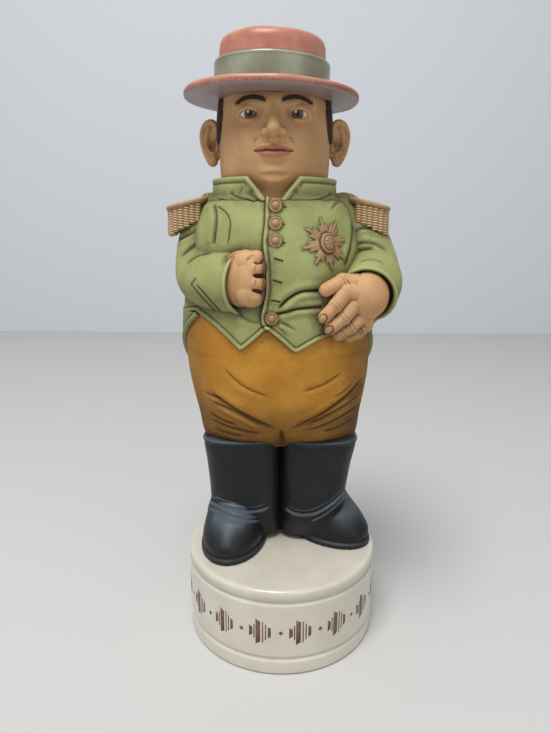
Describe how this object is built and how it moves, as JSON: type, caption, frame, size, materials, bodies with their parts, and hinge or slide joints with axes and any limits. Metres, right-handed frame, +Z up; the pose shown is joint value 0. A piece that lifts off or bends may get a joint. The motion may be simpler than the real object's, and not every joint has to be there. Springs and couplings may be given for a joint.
{
  "type": "figural decanter",
  "caption": "Hand-painted ceramic decanter shaped as a stout officer in a tail coat on a round glazed plinth; the head with its straw hat lifts off as a corked stopper.",
  "frame": {"origin": "middle of the felt under the round plinth, at the level that it stands on", "axes": "+Z up; the figure faces -Y; its right hand is at -X"},
  "size_m": [0.1453, 0.13, 0.3824],
  "materials": {
    "felt": "matte felt",
    "plinth_glaze": "glossy off-white glaze",
    "boot_black": "satin painted bisque",
    "breeches_ochre": "matte painted bisque with dark wash",
    "coat_green": "matte painted bisque with dark wash",
    "skin": "matte painted bisque with dark wash",
    "old_gold": "satin bronze paint on bisque",
    "hair_dark": "matte painted bisque",
    "hat_red": "matte painted bisque with dark wash",
    "band_green": "matte painted bisque",
    "bare_clay": "bare biscuit clay",
    "cork": "pressed cork"
  },
  "bodies": {
    "root": {"base_felt": "felt", "plinth": "plinth_glaze", "right_boot": "boot_black", "left_boot": "boot_black", "breeches": "breeches_ochre", "coat": "coat_green", "coat_tails": "coat_green", "right_sleeve": "coat_green", "left_sleeve": "coat_green", "right_hand": "skin", "left_hand": "skin", "collar": "coat_green", "pouring_neck": "bare_clay", "right_epaulette": "old_gold", "left_epaulette": "old_gold", "right_fringe": "old_gold", "left_fringe": "old_gold", "star_medal": "old_gold", "coat_buttons": "old_gold"},
    "cork": {"cork": "cork"},
    "head": {"head": "skin", "right_ear": "skin", "left_ear": "skin", "hair": "hair_dark", "hat": "hat_red", "hat_band": "band_green", "stopper_peg": "bare_clay"}
  },
  "joints": [
    {"name": "head_lift", "type": "slide", "parent": "root", "child": "cork", "axis": [0, 0, 1], "range_m": [0, 0.06]},
    {"name": "head_turn", "type": "hinge", "parent": "cork", "child": "head", "pos_m": [-0.0055, 0.002, 0.3], "axis": [0, 0, 1], "continuous": true}
  ]
}
